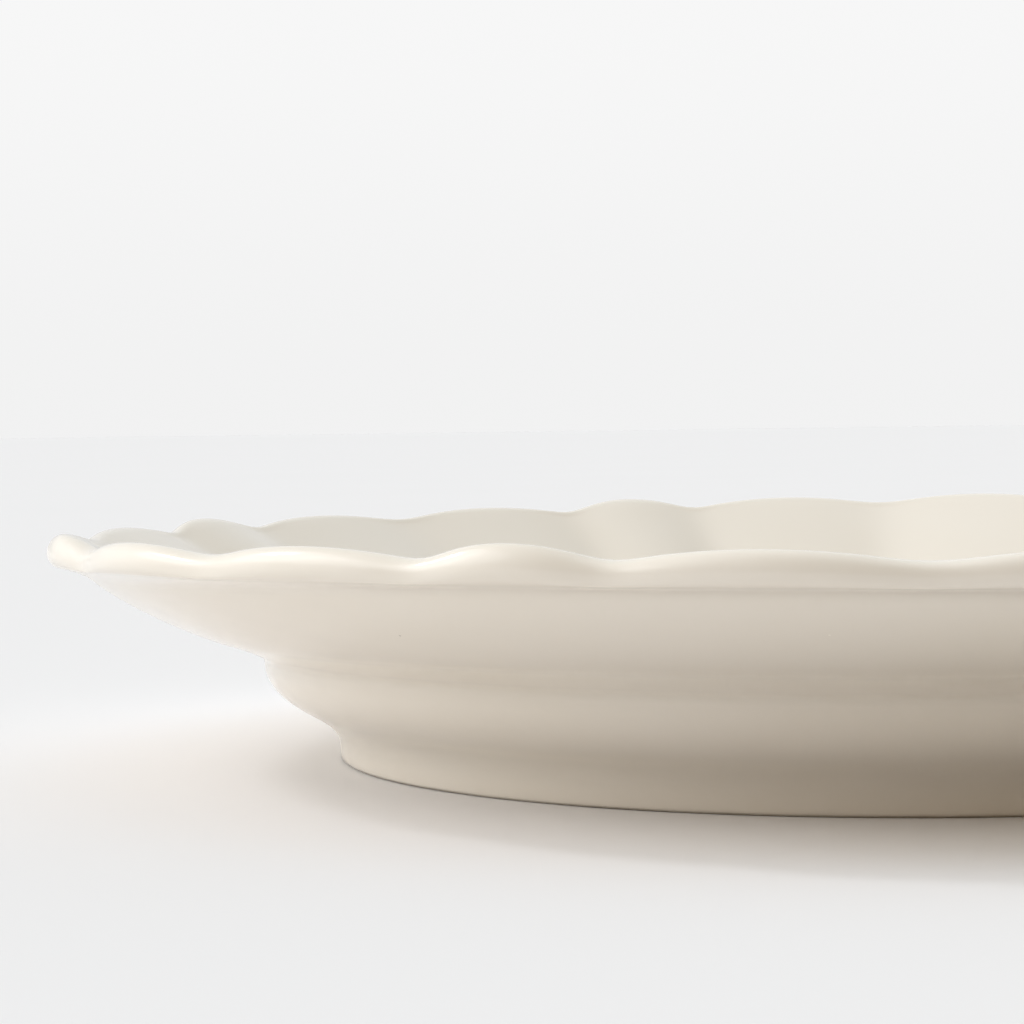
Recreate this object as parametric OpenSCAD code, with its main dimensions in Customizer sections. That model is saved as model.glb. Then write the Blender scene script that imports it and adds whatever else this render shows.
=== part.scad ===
// Scalloped ironstone serving platter, 12 inch round.
// One fired clay body, a glaze coat over its face, rim and back, and a
// second coat inside its foot ring. The narrow land of the foot ring is bare.
// The platter stands on z = 0 with its axis on Z. A narrow lobe points along +X.

/* [Outline] */
// Width over the widest lobes
rim_d = 305; // [290:1:320]
// Height of the rim's crest over the table
rim_h = 42.3; // [40:0.1:44]
// How many times the pattern of one narrow and two wide lobes repeats
repeats = 8; // [8:1:9]
// Share of one repeat that its narrow lobe takes
narrow_share = 0.24; // [0.22:0.01:0.26]
// Radius of a narrow lobe's curve
narrow_r = 26; // [24:1:28]
// Radius of a wide lobe's curve
wide_r = 66; // [62:1:72]
// Radius of the hollow between two lobes
hollow_r = 24; // [20:1:28]

/* [Well and foot] */
// Width of the well over the shoulder on the back
well_d = 228; // [222:1:234]
// Height at which the flange leaves the well
well_h = 18; // [16:0.5:20]
// Outside width of the foot ring
foot_d = 200.4; // [194:0.2:204]
// Height of the foot ring's upright wall
foot_h = 5; // [4:0.25:6]
// Depth of the recess inside the foot ring
recess = 3.6; // [3:0.1:3.9]

/* [Thickness] */
// Thickness of the clay wall and flange
clay_t = 4.2; // [3.6:0.1:4.8]
// Thickness of the clay in the middle of the well
floor_t = 4.6; // [4:0.1:5.5]
// Thickness of the glaze
glaze_t = 0.3; // [0.2:0.05:0.4]
// Height of the bare clay on the foot ring
bare_h = 0.8; // [0.5:0.1:1.2]

/* [Hidden] */
$fn = 160;
clay_colour = "antiquewhite";
glaze_colour = "ivory";

rim_r = rim_d / 2;
well_r = well_d / 2;
foot_r = foot_d / 2;
floor_z = recess + floor_t;
curve_steps = 8; // pieces that each curve is drawn with
land_in = 4.6;   // from the foot's outside to the inner edge of its land
land_out = 1.2;  // from the foot's outside to the outer edge of its land
wide_inset = 0.8; // how far a wide lobe stops short of a narrow one
spare = 3;       // how far the turned shapes run on past the rim, before the trim
bite = 0.03;     // how far a hollow's curve cuts into the lobes beside it
lip_h = 5.8;     // height of the rim's upright edge
lip_slope = 0.6; // rise of the face at the rim, for each millimetre outwards

// A cubic curve from p[0] to p[3], as points. The first point is left out
// where the curve follows another one.
function cubic(p, first = 0) = [
    for (i = [first:curve_steps])
        let (t = i / curve_steps, s = 1 - t)
        s * s * s * p[0] + 3 * s * s * t * p[1] + 3 * s * t * t * p[2] + t * t * t * p[3]
];

function unit(v) = v / norm(v);

// The path moved sideways by d, to the left of the way that it runs.
function beside(path, d) = [
    for (i = [0:len(path) - 1])
        let (
            a = path[max(i - 1, 0)],
            b = path[min(i + 1, len(path) - 1)],
            u = unit(b - a)
        )
        path[i] + d * [-u.y, u.x]
];

function reversed(path) = [for (i = [len(path) - 1:-1:0]) path[i]];

// --- The back, from the middle of the base out to the rim, in [radius, height].

// Recess inside the foot ring, up to the inner edge of the land.
back_base = [
    [0, recess],
    [foot_r - land_in - 5, recess],
    [foot_r - land_in - 1.4, recess - 0.6],
    [foot_r - land_in - 0.5, bare_h]
];

back_land = [
    [foot_r - land_in, 0],
    [foot_r - land_out, 0],
    [foot_r - 0.4, 0.35],
    [foot_r, bare_h]
];

wall_r = well_r - foot_r;
wall_h = well_h - foot_h;

// Outside of the well, bellied out from the foot ring to the shoulder.
back_wall = concat(
    [[foot_r + 0.2, foot_h * 0.7]],
    cubic([
        [foot_r + 1, foot_h],
        [foot_r + 0.42 * wall_r, foot_h + 0.25 * wall_h],
        [foot_r + 0.985 * wall_r, foot_h + 0.54 * wall_h],
        [well_r, well_h - 0.6]
    ])
);

flange_r = rim_r - well_r;
flange_h = rim_h - well_h;

// Cove where the flange leaves the well, and the shallow step beyond it.
back_cove = [
    [well_r - 0.3, well_h + 0.4],
    [well_r + 0.4, well_h + 1.2],
    [well_r + 2, well_h + 2.1],
    [well_r + 7.6, well_h + 3.7],
    [well_r + 8, well_h + 4.2]
];

// Underside of the flange, steeper and steeper, then flaring out under the lip
// and on past it.
back_flange = concat(
    cubic([
        [well_r + 0.24 * flange_r, well_h + 0.2 * flange_h],
        [well_r + 0.38 * flange_r, well_h + 0.27 * flange_h],
        [well_r + 0.62 * flange_r, well_h + 0.44 * flange_h],
        [well_r + 0.77 * flange_r, well_h + 0.63 * flange_h]
    ]),
    cubic([
        [well_r + 0.77 * flange_r, well_h + 0.63 * flange_h],
        [well_r + 0.81 * flange_r, well_h + 0.69 * flange_h],
        [well_r + 0.85 * flange_r, well_h + 0.73 * flange_h],
        [rim_r - 4.4, rim_h - lip_h - 0.5]
    ], 1)
);
back_lip = [[rim_r + spare, rim_h - lip_h + 0.3]];

// --- The face, from the rim in to the middle of the well.

// The upper side of the rim: straight under the lobes, then easing into the flange.
lip_w = 3.8;
face_lip = concat(
    [[rim_r + spare, rim_h + spare * lip_slope]],
    cubic([
        [rim_r - lip_w, rim_h - lip_w * lip_slope],
        [rim_r - lip_w - 1, rim_h - (lip_w + 1) * lip_slope],
        [rim_r - lip_w - 2.4, rim_h - 3.4],
        [rim_r - lip_w - 3.8, rim_h - 4]
    ])
);

face_flange = reversed(beside([for (p = back_flange) if (p.x < rim_r - 9.5) p], clay_t));

face_verge = cubic([
    [well_r + 0.6, well_h + 6.2],
    [well_r - 2.9, well_h + 5.1],
    [well_r - 4.1, well_h + 3.5],
    [well_r - 4.2, well_h]
]);

face_wall = reversed(beside([for (p = back_wall) if (p.y > foot_h + 1.2 && p.y < well_h - 1.5) p], clay_t));

face_floor = cubic([
    [foot_r - 0.6, floor_z + 1.1],
    [foot_r - 3, floor_z + 0.25],
    [foot_r - 7, floor_z],
    [foot_r - 14, floor_z]
]);

back_coated = concat([back_land[3]], back_wall, back_cove, back_flange, back_lip);
face = concat(face_lip, face_flange, face_verge, face_wall, face_floor);
clay_profile = concat(
    back_base,
    [for (i = [0:2]) back_land[i]],
    back_coated,
    face,
    [[0, floor_z]]
);

// --- Outline of the rim: round lobes, with a round hollow between each two.

repeat_a = 360 / repeats;
narrow_a = repeat_a * narrow_share / 2;
wide_a = (repeat_a / 2 - narrow_a) / 2;

function polar(r, a) = [r * cos(a), r * sin(a)];

narrow_c = polar(rim_r - narrow_r, 0);
wide_c = polar(rim_r - wide_inset - wide_r, narrow_a + wide_a);
next_c = polar(rim_r - wide_inset - wide_r, narrow_a + 3 * wide_a);
last_c = polar(rim_r - wide_inset - wide_r, -narrow_a - wide_a);

// Outer one of the two points at ra from a and rb from b.
function outer_meet(a, ra, b, rb) =
    let (
        d = norm(b - a),
        u = (b - a) / d,
        along = (ra * ra - rb * rb + d * d) / (2 * d),
        across = sqrt(ra * ra - along * along)
    )
    a + along * u + across * [u.y, -u.x];

// Fills in between two lobes, up to a hollow that just bites into both.
module hollow(a, ra, b, rb, grow) {
    middle = outer_meet(a, ra + hollow_r, b, rb + hollow_r);
    difference() {
        polygon([a, middle, b]);
        translate(middle) circle(r = hollow_r + bite - grow);
    }
}

module outline(grow = 0) {
    circle(r = rim_r - 8);
    for (i = [0:repeats - 1])
        rotate(i * repeat_a) {
            translate(narrow_c) circle(r = narrow_r + grow);
            translate(wide_c) circle(r = wide_r + grow);
            translate(next_c) circle(r = wide_r + grow);
            hollow(narrow_c, narrow_r, wide_c, wide_r, grow);
            hollow(wide_c, wide_r, next_c, wide_r, grow);
            hollow(last_c, wide_r, narrow_c, narrow_r, grow);
        }
}

// A turned shape, trimmed to the lobed outline.
module trimmed(profile, grow = 0) {
    intersection() {
        rotate_extrude() polygon(profile);
        translate([0, 0, -5]) linear_extrude(rim_h + 10) outline(grow);
    }
}

module clay_body() {
    color(clay_colour) trimmed(clay_profile);
}

// The clay, grown by the coat's thickness wherever it's coated, less the clay.
module face_glaze() {
    core_r = foot_r - (land_in + land_out) / 2;
    core_z = recess + floor_t / 2;
    back_coat = beside(back_coated, -glaze_t);
    face_coat = beside(face, -glaze_t);
    color(glaze_colour)
        difference() {
            trimmed(
                concat(
                    [[0, core_z], [core_r, core_z], [core_r, bare_h], [foot_r + glaze_t, bare_h]],
                    [for (i = [1:len(back_coat) - 1]) back_coat[i]],
                    face_coat,
                    [[0, floor_z + glaze_t]]
                ),
                glaze_t
            );
            trimmed(clay_profile);
        }
}

module base_glaze() {
    below = beside(back_base, -glaze_t);
    color(glaze_colour)
        rotate_extrude()
            polygon(concat(
                back_base,
                [[below[3].x, bare_h]],
                [for (i = [2:-1:1]) below[i]],
                [[0, recess - glaze_t]]
            ));
}

clay_body();
face_glaze();
base_glaze();
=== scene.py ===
# %% [markdown]
# # A scalloped ironstone platter
# This lesson builds one round serving platter: a sunk well, an upswept flange, a rolled
# rim that rises into lobes, and a foot ring. The real thing is one piece of fired clay
# under two coats of glaze, so that is what we make: the clay, the coat that covers the
# face and the back, and the coat inside the foot ring.
#
# The measured frame comes first. Everything that follows is in metres, in its axes.

# %% Load the frame
import math

import bpy
from mathutils import Matrix, Vector


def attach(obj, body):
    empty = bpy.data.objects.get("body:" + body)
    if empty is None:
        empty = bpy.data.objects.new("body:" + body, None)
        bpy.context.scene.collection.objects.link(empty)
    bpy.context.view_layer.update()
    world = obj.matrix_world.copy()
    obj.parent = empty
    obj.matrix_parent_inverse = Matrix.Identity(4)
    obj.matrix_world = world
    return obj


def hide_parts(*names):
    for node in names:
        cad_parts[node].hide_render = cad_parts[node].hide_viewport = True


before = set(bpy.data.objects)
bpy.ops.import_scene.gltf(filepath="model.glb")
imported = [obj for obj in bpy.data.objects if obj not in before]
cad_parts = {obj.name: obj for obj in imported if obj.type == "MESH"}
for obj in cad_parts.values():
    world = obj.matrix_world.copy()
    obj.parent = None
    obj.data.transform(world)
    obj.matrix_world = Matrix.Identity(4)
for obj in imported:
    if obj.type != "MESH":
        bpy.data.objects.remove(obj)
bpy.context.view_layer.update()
MM = 0.001


# %% [markdown]
# ## Wiring nodes in Python
# Node trees are easier to read as arithmetic than as a list of links. `Wire` holds one
# output socket and turns `+ - * / **` into Math nodes. The reflected forms let a plain
# number stand on the left, as in `1 - mask`. `Bench.add` makes every other kind of node:
# its settings go in first, because they decide which sockets the node has.

# %% A wire and a bench for it


class Wire:
    def __init__(self, bench, socket):
        self.bench, self.socket = bench, socket

    def _math(self, operation, *values):
        settings = {"operation": operation}
        return self.bench.add("ShaderNodeMath", settings, dict(enumerate(values)))

    def __add__(self, other):
        return self._math("ADD", self, other)

    def __sub__(self, other):
        return self._math("SUBTRACT", self, other)

    def __rsub__(self, other):
        return self._math("SUBTRACT", other, self)

    def __mul__(self, other):
        return self._math("MULTIPLY", self, other)

    def __truediv__(self, other):
        return self._math("DIVIDE", self, other)

    def __pow__(self, other):
        return self._math("POWER", self, other)

    __radd__, __rmul__ = __add__, __mul__

    def calc(self, operation, *values):
        """A Math node that has no operator of its own, such as SINE or PINGPONG."""
        return self._math(operation, self, *values)


class Bench:
    def __init__(self, tree):
        self.tree = tree

    def add(self, kind, settings=None, values=None, out=0):
        """A new node. Its values are numbers or wires, and one of its outputs is given back."""
        node = self.tree.nodes.new(kind)
        for name, value in (settings or {}).items():
            setattr(node, name, value)
        for key, value in (values or {}).items():
            if isinstance(value, Wire):
                self.tree.links.new(value.socket, node.inputs[key])
            else:
                node.inputs[key].default_value = value
        return Wire(self, node.outputs[out]) if node.outputs else None

    def smooth_step(self, value, low, high):
        """0 below low and 1 above high, with a soft rise between them."""
        settings = {"interpolation_type": "SMOOTHSTEP"}
        return self.add("ShaderNodeMapRange", settings, {0: value, 1: low, 2: high})


# %% [markdown]
# ## The half profile
# A plate is jiggered: a flat blade with the plate's half profile cut into it is held
# against the turning clay. We draw that same half profile, in millimetres from the axis
# and from the table, as a chain of cubic curves. Each curve shares its first point with
# the one before it, so only its handles and its end are listed.
#
# Two more numbers go with each end: how far the lobes push the profile outwards there,
# and how far they lift it, from 0 (not at all) to 1 (all the way). They are 0 on the
# foot and the well, which stay truly round, and 1 at the crest of the rim. Down the
# face of the flange the lift fades slowly, which leaves a shallow rib behind each lobe.

# %% Curves of the back and the face
GLAZE = 0.3  # thickness of the coat
BARE = 0.35  # height of the bare clay on the outside of the foot ring
START = (100.25, BARE, 0, 0)
BACK_AND_FACE = (
    # name, steps, first handle, second handle, end (radius, height, push, lift)
    ("glaze edge", 4, (100.45, 0.5), (100.5, 1.0), (100.5, 1.7, 0, 0)),
    ("foot ring", 9, (100.5, 4.4), (101.4, 5.9), (104.6, 7.9, 0, 0)),
    ("belly", 12, (107.2, 9.6), (113.6, 12.0), (113.8, 17.7, 0, 0)),
    ("bead", 7, (113.85, 18.6), (114.5, 19.3), (115.9, 19.8, 0, 0)),
    ("cove", 9, (117.0, 20.3), (120.4, 21.75), (123.2, 22.5, 0, 0)),
    ("flange back", 16, (128.0, 24.15), (138.0, 28.6), (143.6, 33.3, 0, 0)),
    ("under the lip", 8, (144.9, 34.35), (146.6, 35.0), (148.4, 35.5, 0, 0)),
    ("lip's lower edge", 9, (150.2, 36.0), (151.8, 36.3), (152.1, 38.0, 0.75, 0.4)),
    ("roll of the rim", 12, (152.2, 39.8), (151.2, 41.66), (149.9, 41.66, 1, 1)),
    ("inside the roll", 10, (148.7, 41.66), (147.3, 41.1), (145.4, 40.1, 0.45, 1)),
    ("flange face", 12, (139.5, 36.8), (131.0, 32.1), (124.5, 28.4, 0, 0.8)),
    ("flange foot", 8, (121.5, 26.7), (119.5, 26.1), (117.0, 25.3, 0, 0.2)),
    ("verge", 9, (113.8, 24.3), (110.6, 23.4), (110.1, 19.6, 0, 0)),
    ("well wall", 8, (109.9, 15.0), (104.5, 12.4), (99.6, 9.8, 0, 0)),
    ("well floor", 6, (95.5, 8.4), (90.0, 8.5), (84.0, 8.5, 0, 0)),
)
WELL_RINGS = (60, 36, 18, 6, 0)  # radii of the last rings, on the flat of the well
print("curves, from the foot to the well:", ", ".join(curve[0] for curve in BACK_AND_FACE))

# %% [markdown]
# The curves become a chain of points. The coat has the same thickness everywhere, so
# the skin of the clay is that chain moved sideways by the thickness of the glaze.

# %% From curves to points
CLAY_EDGE = 100.2  # radius of the clay where the coat ends
EDGE_POINTS = 3  # points of the coat's edge that have no clay behind them


def cubic(a, b, c, d, t):
    s = 1 - t
    return s**3 * a + 3 * s * s * t * b + 3 * s * t * t * c + t**3 * d


def draw_profile():
    """The glazed outside, from the foot ring over the rim to the middle of the well."""
    points, here = [START], START
    for _, steps, b, c, end in BACK_AND_FACE:
        for i in range(1, steps + 1):
            t = i / steps
            r, z = (cubic(here[k], b[k], c[k], end[k], t) for k in (0, 1))
            ease = t * t * (3 - 2 * t)
            push, lift = (here[k] + (end[k] - here[k]) * ease for k in (2, 3))
            points.append((r, z, push, lift))
        here = end
    return points + [(r, here[1], 0, 0) for r in WELL_RINGS]


def beside(points, distance):
    """The chain of points moved sideways, to the left of the way that it runs."""
    moved = []
    for i, (r, z, *weights) in enumerate(points):
        before, after = points[max(i - 1, 0)], points[min(i + 1, len(points) - 1)]
        dr, dz = after[0] - before[0], after[1] - before[1]
        run = math.hypot(dr, dz)
        moved.append((max(r - distance * dz / run, 0), z + distance * dr / run, *weights))
    return moved


outside = draw_profile()
clay_skin = [(CLAY_EDGE, BARE, 0, 0)] + beside(outside, GLAZE)[EDGE_POINTS:]
clay_skin[-1] = (0, outside[-1][1] - GLAZE, 0, 0)
print("profile points:", len(outside), "highest, mm:", round(max(p[1] for p in outside), 2))

# %% [markdown]
# ## One rule for the rim
# The rim repeats one narrow and two wide lobes. Seen from above, each lobe is part of a
# circle, and a smooth maximum of three neighbouring circles rounds the dips between
# them. The lobes also stand up: where the rim draws in, it dips, because it follows the
# slope of the flange. Fired ware is never quite flat either, so a slow saddle lifts two
# sides of the rim by about a millimetre and lowers the other two.

# %% Sizes of the rim
TURN = 2 * math.pi
RIM_SIZES = {
    "Steps Round": 480,
    "Repeats": 8,
    "Narrow Tip": 152.2 * MM,  # distance of a lobe's tip from the axis
    "Narrow Curve": 28 * MM,  # radius of the lobe's own circle
    "Wide Tip": 151.4 * MM,
    "Wide Curve": 62 * MM,
    "Wide Place": math.radians(13.95),  # from the narrow lobe's middle to the wide one's
    "Dip Softness": 4 * MM,
    "Lift": 0.88,  # fall of the rim for each millimetre that it draws in
    "Warp": 0.95 * MM,
    "Warp Start": 110 * MM,  # the foot and the well inside this radius stay flat
}
MERGE_GAP = 0.005 * MM
print("lobes round the rim:", 3 * RIM_SIZES["Repeats"])

# %% [markdown]
# Two mirror lines of the rim let one half of a repeat stand for all of them. Ping-pong
# folds the angle into that half, and there only three lobes can be the outermost: the
# narrow one, the wide one beside it, and the next wide one on the far side of the fold.

# %% The outline of the rim


def lobed_outline(angle, given):
    """How far the outline of the rim is from the axis, at each angle."""
    half_repeat = (given["Repeats"] ** -1) * math.pi
    folded = angle.calc("PINGPONG", half_repeat)

    def lobe(middle, tip, curve):
        """Distance from the axis to the outer side of one lobe's circle."""
        turn = folded - middle
        centre = tip - curve
        across = centre * turn.calc("SINE")
        reach = (curve * curve - across * across).calc("MAXIMUM", 0).calc("SQRT")
        return centre * turn.calc("COSINE") + reach

    near_wide = lobe(given["Wide Place"], given["Wide Tip"], given["Wide Curve"])
    next_place = half_repeat * 2 - given["Wide Place"]
    far_wide = lobe(next_place, given["Wide Tip"], given["Wide Curve"])
    narrow = lobe(0, given["Narrow Tip"], given["Narrow Curve"])
    soft = given["Dip Softness"]
    return narrow.calc("SMOOTH_MAX", near_wide, soft).calc("SMOOTH_MAX", far_wide, soft)


# %% [markdown]
# ## The wheel
# The whole shape follows a rule, so Geometry Nodes turn the profile. A grid gets one
# column for each step round the axis and one row for each profile point, and every grid
# point is sent to its place. The last column lands on the first, and the end rows land
# on the axis, so merging by distance closes the seam and the poles.

# %% The turning tree


def add_group_sockets(tree):
    """The named inputs and the output of the tree."""
    face = tree.interface
    face.new_socket("Profile", in_out="INPUT", socket_type="NodeSocketGeometry")
    for name, value in RIM_SIZES.items():
        kind = "NodeSocketInt" if isinstance(value, int) else "NodeSocketFloat"
        face.new_socket(name, in_out="INPUT", socket_type=kind).default_value = value
    face.new_socket("Material", in_out="INPUT", socket_type="NodeSocketMaterial")
    face.new_socket("Ware", in_out="OUTPUT", socket_type="NodeSocketGeometry")


def build_turning_tree():
    tree = bpy.data.node_groups.new("turned_and_lobed", "GeometryNodeTree")
    add_group_sockets(tree)
    bench = Bench(tree)
    entry = tree.nodes.new("NodeGroupInput")
    given = {socket.name: Wire(bench, socket) for socket in entry.outputs if socket.name}

    profile_mesh = {0: given["Profile"]}
    rows = bench.add("GeometryNodeAttributeDomainSize", {"component": "MESH"}, profile_mesh)
    grid_values = {"Vertices X": given["Steps Round"] + 1, "Vertices Y": rows}
    grid = bench.add("GeometryNodeMeshGrid", None, grid_values)
    index = bench.add("GeometryNodeInputIndex")
    row = index.calc("MODULO", rows)
    column = (index / rows).calc("FLOOR")

    def from_profile(value, data_type="FLOAT"):
        """A value of the profile point that belongs to this grid point's row."""
        settings = {"data_type": data_type, "domain": "POINT"}
        values = {"Geometry": given["Profile"], "Value": value, "Index": row}
        return bench.add("GeometryNodeSampleIndex", settings, values)

    def weight(name):
        stored = {"data_type": "FLOAT"}
        return from_profile(bench.add("GeometryNodeInputNamedAttribute", stored, {"Name": name}))

    place = from_profile(bench.add("GeometryNodeInputPosition"), "FLOAT_VECTOR")
    radius = bench.add("ShaderNodeSeparateXYZ", None, {0: place}, out=0)
    height = bench.add("ShaderNodeSeparateXYZ", None, {0: place}, out=2)

    angle = column / given["Steps Round"] * TURN
    drawn_in = lobed_outline(angle, given) - given["Narrow Tip"]
    warped = bench.smooth_step(radius, given["Warp Start"], given["Narrow Tip"])
    saddle = (angle * 2).calc("COSINE") * given["Warp"] * warped
    new_radius = radius + drawn_in * weight("push")
    new_height = height + drawn_in * given["Lift"] * weight("lift") - saddle

    across = {0: new_radius * angle.calc("COSINE"), 1: new_radius * angle.calc("SINE")}
    position = bench.add("ShaderNodeCombineXYZ", None, {**across, 2: new_height})
    turned = {"Geometry": grid, "Position": position}
    shaped = bench.add("GeometryNodeSetPosition", None, turned)
    seams = {"Geometry": shaped, "Distance": MERGE_GAP}
    closed = bench.add("GeometryNodeMergeByDistance", None, seams)
    smooth = bench.add("GeometryNodeSetShadeSmooth", None, {"Geometry": closed})
    real = bench.add("GeometryNodeRealizeInstances", None, {"Geometry": smooth})
    finish = {"Geometry": real, "Material": given["Material"]}
    dressed = bench.add("GeometryNodeSetMaterial", None, finish)
    bench.add("NodeGroupOutput", None, {"Ware": dressed})
    return tree


turning_tree = build_turning_tree()
print("turning tree nodes:", len(turning_tree.nodes))

# %% [markdown]
# The tree takes its profile as the object's own mesh: a chain of points with the two
# weights stored on them. After the modifier has run, `new_from_object` keeps the result
# as a plain mesh.

# %% A function that turns a profile into ware


def turn_ware(name, points, material):
    chain = bpy.data.meshes.new(name + "_profile")
    edges = [(i, i + 1) for i in range(len(points) - 1)]
    chain.from_pydata([(p[0] * MM, 0, p[1] * MM) for p in points], edges, [])
    for column, weight in ((2, "push"), (3, "lift")):
        store = chain.attributes.new(weight, "FLOAT", "POINT")
        store.data.foreach_set("value", [float(p[column]) for p in points])
    ware = bpy.data.objects.new(name, chain)
    bpy.context.scene.collection.objects.link(ware)
    wheel = ware.modifiers.new("wheel", "NODES")
    wheel.node_group = turning_tree
    settings = {**RIM_SIZES, "Material": material}
    for item in turning_tree.interface.items_tree:
        if item.in_out == "INPUT" and item.name in settings:
            wheel[item.identifier] = settings[item.name]
    turned = ware.evaluated_get(bpy.context.evaluated_depsgraph_get())
    finished = bpy.data.meshes.new_from_object(turned)
    ware.modifiers.clear()
    ware.data = finished
    finished.name = name
    bpy.data.meshes.remove(chain)
    print(name, "triangles:", sum(len(f.vertices) - 2 for f in finished.polygons))
    return ware


# %% [markdown]
# ## The finishes
# A finish is a new material, a few patterns on Object coordinates, and one Principled
# shader. Object coordinates keep the patterns on the ware, whichever way it stands.

# %% Helpers for finishes


def new_material(name):
    """An empty material, a bench for its nodes, and the place on the ware."""
    material = bpy.data.materials.new(name)
    material.use_nodes = True
    material.node_tree.nodes.clear()
    bench = Bench(material.node_tree)
    place = bench.add("ShaderNodeTexCoord", None, None, out=3)
    return material, bench, place


def surface(bench, values):
    shader = bench.add("ShaderNodeBsdfPrincipled", None, values)
    bench.add("ShaderNodeOutputMaterial", None, {"Surface": shader})


def noise(bench, place, scale, detail=2.0, roughness=0.5):
    values = {"Vector": place, "Scale": scale, "Detail": detail, "Roughness": roughness}
    return bench.add("ShaderNodeTexNoise", None, values)


def mix_colour(bench, factor, one, other):
    def full(colour):
        return colour if isinstance(colour, Wire) else (*colour, 1)

    values = {0: factor, 6: full(one), 7: full(other)}
    return bench.add("ShaderNodeMix", {"data_type": "RGBA"}, values, out=2)


def bump(bench, height, strength, distance):
    values = {"Strength": strength, "Distance": distance, "Height": height}
    return bench.add("ShaderNodeBump", None, values)


def scatter(bench, place, scale, size, share):
    """1 in round dots that sit in a share of the cells of a pattern, 0 elsewhere."""
    nearest, values = {"feature": "F1"}, {"Vector": place, "Scale": scale}
    distance = bench.add("ShaderNodeTexVoronoi", nearest, values)
    cell_colour = bench.add("ShaderNodeTexVoronoi", nearest, values, out=1)
    chance = bench.add("ShaderNodeSeparateColor", None, {0: cell_colour})
    dots = 1 - bench.smooth_step(distance, size * 0.5, size)
    return dots * chance.calc("LESS_THAN", share)


# %% [markdown]
# Ironstone glaze is a clear to milky glass, a few tenths of a millimetre thick, over an
# off-white body. Three things keep it from looking like plastic: the colour drifts at
# random, the surface has a very shallow ripple left by the flow of the melt, and a few
# pinholes and specks of iron show. Below a set height the glaze is also tinted darker
# and warmer: painted shade on the foot and the lower belly, which reaches the well too.

# %% Glaze
IVORY = (0.955, 0.885, 0.775)
PALE_IVORY = (0.965, 0.90, 0.80)
# painted shade: a darker, warmer ivory for the lower part of the ware
SHADED_IVORY = (0.93, 0.85, 0.72)
SHADE_SHARE = 0.35
SHADE_TOP = 12 * MM  # painted shade: below this height the glaze is tinted darker and warmer
IRON_SPECK = (0.20, 0.15, 0.10)
IRON_SHARE = 0.55
# cells to the metre, size of a dot in its cell, share of the cells that have one
SPECKS = (300, 0.07, 0.008)
PITS = (150, 0.045, 0.02)
GLAZE_ROUGHNESS = 0.10
GLAZE_IOR = 1.5


def glaze_material(name):
    material, bench, place = new_material(name)
    drift = bench.smooth_step(noise(bench, place, 14, detail=3), 0.35, 0.65)
    colour = mix_colour(bench, drift, IVORY, PALE_IVORY)
    # painted shade: the glaze is tinted darker and warmer towards the bottom
    height = bench.add("ShaderNodeSeparateXYZ", None, {0: place}, out=2)
    low = 1 - bench.smooth_step(height, 0.0, SHADE_TOP)
    colour = mix_colour(bench, low * SHADE_SHARE, colour, SHADED_IVORY)
    specks = scatter(bench, place, *SPECKS)
    colour = mix_colour(bench, specks * IRON_SHARE, colour, IRON_SPECK)

    pits = scatter(bench, place, *PITS)
    ripple = noise(bench, place, 45, detail=1.5) * 0.8
    fine = noise(bench, place, 90, detail=4, roughness=0.6) * 0.12
    relief = ripple + fine - pits * 0.6
    uneven = noise(bench, place, 30, detail=3) * 0.06
    values = {
        "Base Color": colour,
        "Roughness": GLAZE_ROUGHNESS + uneven + pits * 0.2,
        "Normal": bump(bench, relief, strength=0.06, distance=0.6 * MM),
        "IOR": GLAZE_IOR,
    }
    surface(bench, values)
    return material


face_glaze_finish = glaze_material("ivory_glaze_face")
base_glaze_finish = glaze_material("ivory_glaze_base")
print("glazes:", face_glaze_finish.name, "and", base_glaze_finish.name)

# %% [markdown]
# The land of the foot ring is wiped clean before firing. It is dry, a little darker and
# pinker than the glaze, with fine grog and the grey that years of tables leave on it.

# %% Bare clay
CLAY = (0.74, 0.67, 0.57)
CLAY_DARK = (0.52, 0.45, 0.37)
GROG = (1400, 0.25, 0.15)  # as for the specks of the glaze
CLAY_ROUGHNESS = 0.78


def clay_material(name):
    material, bench, place = new_material(name)
    worn = noise(bench, place, 60, detail=5, roughness=0.65)
    grime = bench.smooth_step(worn, 0.45, 0.7)
    colour = mix_colour(bench, grime * 0.6, CLAY, CLAY_DARK)
    grog = scatter(bench, place, *GROG)
    colour = mix_colour(bench, grog * 0.5, colour, CLAY_DARK)
    grain = noise(bench, place, 900, detail=3, roughness=0.7)
    values = {
        "Base Color": colour,
        "Roughness": CLAY_ROUGHNESS + grain * 0.12,
        "Normal": bump(bench, grain - grog * 0.3, strength=0.35, distance=0.3 * MM),
    }
    surface(bench, values)
    return material


clay_finish = clay_material("bare_fired_clay")
print("clay:", clay_finish.name)

# %% [markdown]
# ## The clay
# The clay's profile starts on the axis under the well, runs out through the recess and
# over the land of the foot, then up the back, over the rim and back to the axis. Run
# that way, the wheel gives it faces that point outwards.

# %% Turn the clay
BASE_RECESS = (
    (0, 3.6),
    (40, 3.6),
    (80, 3.6),
    (89.5, 3.6),
    (93.2, 3.0),
    (94.6, 2.0),
    (95.1, BARE),
)
FOOT_LAND = ((95.25, 0.25), (95.6, 0), (99.5, 0), (100.0, 0.15))

recess = [(r, z, 0, 0) for r, z in BASE_RECESS]
land = [(r, z, 0, 0) for r, z in FOOT_LAND]
clay = turn_ware("fired_clay", recess + land + clay_skin, clay_finish)

# %% [markdown]
# ## The coats
# Each coat is a thin closed shell. The one on the face and the back has its inner side
# first, from the middle of the well out to the foot, then its outer side back again.
# The clay hides the inner side, so every third point is enough there. The coat inside
# the foot ring has its free side first, and its back lies on the recess of the clay.

# %% Turn the two coats
HIDDEN_STEP = 3
BASE_COAT_EDGE = 0.25  # how far the free side stops inside the edge of the recess

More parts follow.
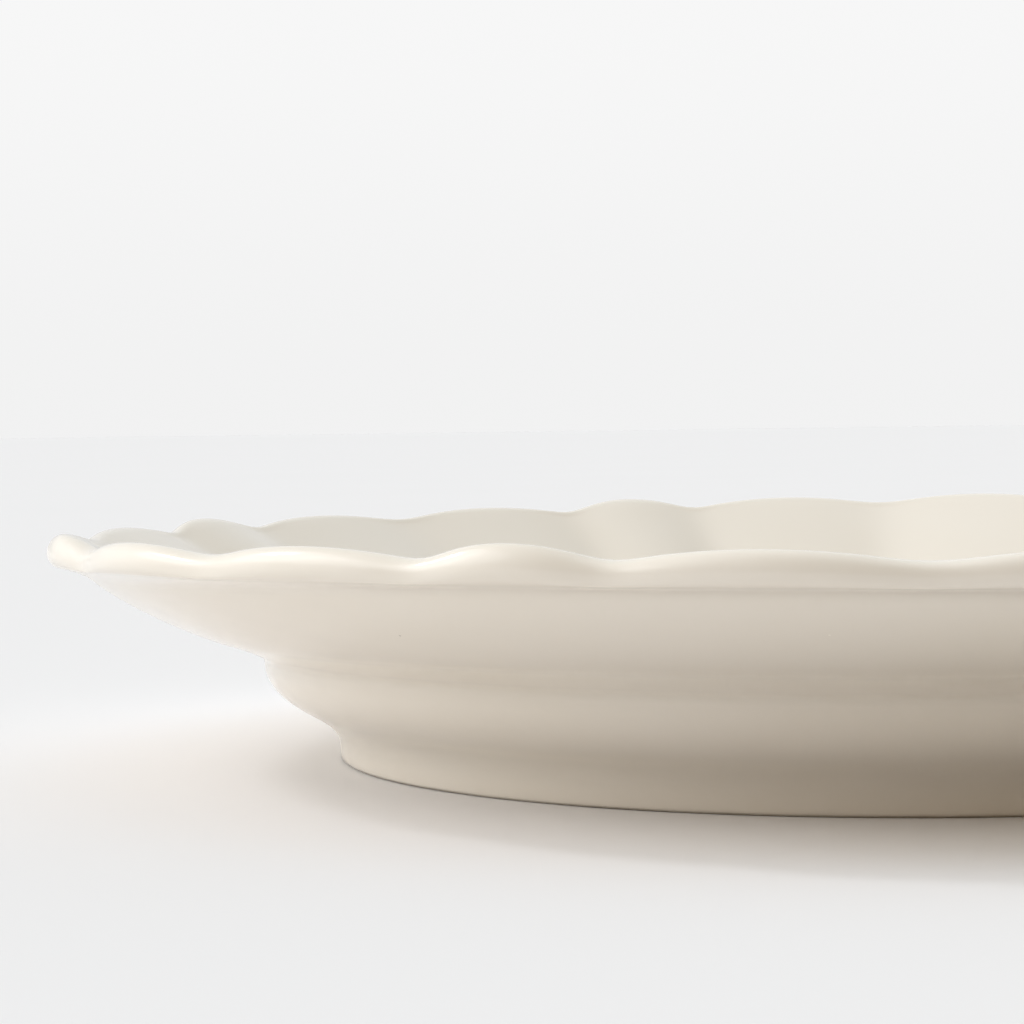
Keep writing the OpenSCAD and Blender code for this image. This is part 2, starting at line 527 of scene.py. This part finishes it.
inner_side = [clay_skin[0]] + clay_skin[1:-1:HIDDEN_STEP] + [clay_skin[-1]]
face_coat = turn_ware("face_coat", inner_side[::-1] + outside, face_glaze_finish)

exposed = beside(recess, -GLAZE)
exposed[0] = (0, recess[0][1] - GLAZE, 0, 0)
exposed[-1] = (recess[-1][0] - BASE_COAT_EDGE, BARE, 0, 0)
base_coat = turn_ware("base_coat", exposed + recess[::-1], base_glaze_finish)

# %% [markdown]
# ## Joining the frame
# The frame has one body, and nothing on a platter moves. Each piece rides on that body
# and stands in for the measured piece of the same place.

# %% Join the pieces to the frame
for piece, node, slot in (
    (clay, "clay_body", "clay"),
    (face_coat, "face_glaze", "face_glaze"),
    (base_coat, "base_glaze", "base_glaze"),
):
    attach(piece, "root")
    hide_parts(node)
    print(piece.name, "stands in for", node)

# %% [markdown]
# ## The floor
# A studio stands the ware on a paper sweep, which runs up behind it with no visible
# corner. Here the floor is a flat matt sheet, so wide that its far edge is lost, and
# the paper behind it is part of the room.

# %% Lay the floor
FLOOR_HALF = 30.0
FLOOR_TONE = 0.87
FLOOR_GREEN, FLOOR_BLUE = 0.988, 0.99  # as shares of the red
scene = bpy.context.scene
scene.view_settings.view_transform = "Standard"


def paper_material(name):
    material, bench, place = new_material(name)
    tone = noise(bench, place, 3, detail=2) * 0.01 + FLOOR_TONE
    shades = {0: tone, 1: tone * FLOOR_GREEN, 2: tone * FLOOR_BLUE}
    colour = bench.add("ShaderNodeCombineColor", None, shades)
    surface(bench, {"Base Color": colour, "Roughness": 1.0, "Specular IOR Level": 0.0})
    return material


def build_floor():
    corners = ((-1, -1), (1, -1), (1, 1), (-1, 1))
    mesh = bpy.data.meshes.new("floor")
    points = [(FLOOR_HALF * x, FLOOR_HALF * y, 0) for x, y in corners]
    mesh.from_pydata(points, [], [(0, 1, 2, 3)])
    floor = bpy.data.objects.new("floor", mesh)
    scene.collection.objects.link(floor)
    mesh.materials.append(paper_material("pale_paper"))


build_floor()
print("floor, m across:", 2 * FLOOR_HALF)

# %% [markdown]
# ## The room
# The light is what shapes this ware. It comes mostly from a broad window on the left,
# and the ceiling and the paper behind give some back. The camera's side and the right
# are dim and warm, so the rounded back darkens towards its foot and its right. Each
# part of the room is one soft glow: a direction, a tightness and a colour.
#
# The camera itself doesn't look at the glows: it sees plain paper behind the ware, a
# little brighter towards the top.

# %% Light the room
AXIS_TURN = math.radians(20.88)  # how far the camera's stand is turned round the ware
PAPER_LOW, PAPER_HIGH = 0.885, 0.93
PAPER_RISE = 0.15  # sine of the height at which the paper is brightest
GLOWS = (
    # bearing and height in degrees (0 is to the right, 90 is away), tightness, colour
    (50, 8, 8, (0.90, 0.90, 0.88)),  # paper behind, on the right
    (100, 8, 8, (0.56, 0.56, 0.56)),  # paper behind
    (150, 8, 8, (0.78, 0.79, 0.80)),  # paper behind, on the left
    (20, 38, 7, (0.33, 0.33, 0.32)),  # white card on the right
    (80, 38, 7, (0.34, 0.38, 0.41)),  # paper curving up
    (200, 38, 7, (0.90, 0.90, 0.90)),  # wall beside the window
    (188, 32, 8, (1.14, 1.17, 1.20)),  # blind over the window
    (320, 38, 7, (0.27, 0.22, 0.13)),  # dim room on the camera's right
    (265, 34, 7, (0.11, 0.06, 0.01)),  # dim room behind the camera
    (290, 8, 8, (0.08, 0.04, 0.01)),  # warm edge of the table
    (90, 80, 6, (0.88, 0.94, 0.98)),  # ceiling
)


def toward(bearing, height):
    """The direction at that bearing and height, as the camera stands."""
    turn, rise = math.radians(bearing) + AXIS_TURN, math.radians(height)
    flat = math.cos(rise)
    return Vector((flat * math.cos(turn), flat * math.sin(turn), math.sin(rise)))


def add_glows(bench, direction):
    """Each glow fades with the angle from its own direction, and all are added up."""

    def vector(operation, values, out=0):
        return bench.add("ShaderNodeVectorMath", {"operation": operation}, values, out)

    total = None
    for bearing, height, tightness, colour in GLOWS:
        aim = tuple(toward(bearing, height))
        near = vector("DOT_PRODUCT", {0: direction, 1: aim}, out=1)
        share = ((near - 1) * tightness).calc("EXPONENT")
        glow = vector("SCALE", {0: colour, "Scale": share})
        total = vector("ADD", {0: total, 1: glow}) if total else glow
    return total


def build_room():
    world = bpy.data.worlds.new("pale_room")
    scene.world = world
    world.use_nodes = True
    world.node_tree.nodes.clear()
    bench = Bench(world.node_tree)
    direction = bench.add("ShaderNodeTexCoord", None, None, out=0)
    light = add_glows(bench, direction)
    up = bench.add("ShaderNodeSeparateXYZ", None, {0: direction}, out=2)
    tone = bench.smooth_step(up, 0.0, PAPER_RISE) * (PAPER_HIGH - PAPER_LOW) + PAPER_LOW
    paper = bench.add("ShaderNodeCombineXYZ", None, {0: tone, 1: tone, 2: tone})
    seen = bench.add("ShaderNodeLightPath", None, None, out=0)
    sides = {0: seen, 4: light, 5: paper}
    colour = bench.add("ShaderNodeMix", {"data_type": "VECTOR"}, sides, out=1)
    background = bench.add("ShaderNodeBackground", None, {"Color": colour})
    bench.add("ShaderNodeOutputWorld", None, {"Surface": background})


build_room()
print("glows in the room:", len(GLOWS))

# %% [markdown]
# The window also needs lamps, because a glow alone gives the rim no clear highlight. A
# sun lamp is only a direction and a width: the narrow one is the window, and the wide
# ones are the light that its blind and wall scatter.

# %% Window light
DAYLIGHT = (0.94, 0.965, 1.0)
WINDOWS = (
    # name, bearing, height, width in degrees, strength
    ("window", 160, 38, 7, 0.46),
    ("window_blind", 172, 34, 40, 0.38),
    ("window_wall", 200, 30, 40, 0.30),
)
for name, bearing, height, width, strength in WINDOWS:
    data = bpy.data.lights.new(name, "SUN")
    data.energy, data.angle, data.color = strength, math.radians(width), DAYLIGHT
    lamp = bpy.data.objects.new(name, data)
    lamp.rotation_euler = (-toward(bearing, height)).to_track_quat("-Z", "Y").to_euler()
    scene.collection.objects.link(lamp)
    print(name, "strength:", strength)

# %% [markdown]
# ## The camera
# The camera stands close, a little above the rim, with a long lens. It looks past the
# ware's left side, so that the rim runs out of the picture on the right.

# %% Place the camera
CAMERA_REACH = 0.5503  # from the axis, along the table
CAMERA_HEIGHT = 0.0584
CAMERA_LENS = 107.1  # mm, on a sensor 36 mm wide
CAMERA_SENSOR = 36
CAMERA_NEAR = 0.01
HEADING = math.radians(28.12)
TILT_DOWN = math.radians(1.604)
ROLL = math.radians(-0.81)

camera_data = bpy.data.cameras.new("camera")
camera_data.sensor_width, camera_data.lens = CAMERA_SENSOR, CAMERA_LENS
camera_data.clip_start = CAMERA_NEAR
camera = bpy.data.objects.new("camera", camera_data)
spot = toward(-90, 0) * CAMERA_REACH + Vector((0, 0, CAMERA_HEIGHT))
camera.matrix_world = (
    Matrix.Translation(spot)
    @ Matrix.Rotation(HEADING, 4, "Z")
    @ Matrix.Rotation(math.pi / 2 - TILT_DOWN, 4, "X")
    @ Matrix.Rotation(ROLL, 4, "Z")
)
scene.collection.objects.link(camera)
scene.camera = camera
print("camera at, m:", [round(x, 3) for x in spot])
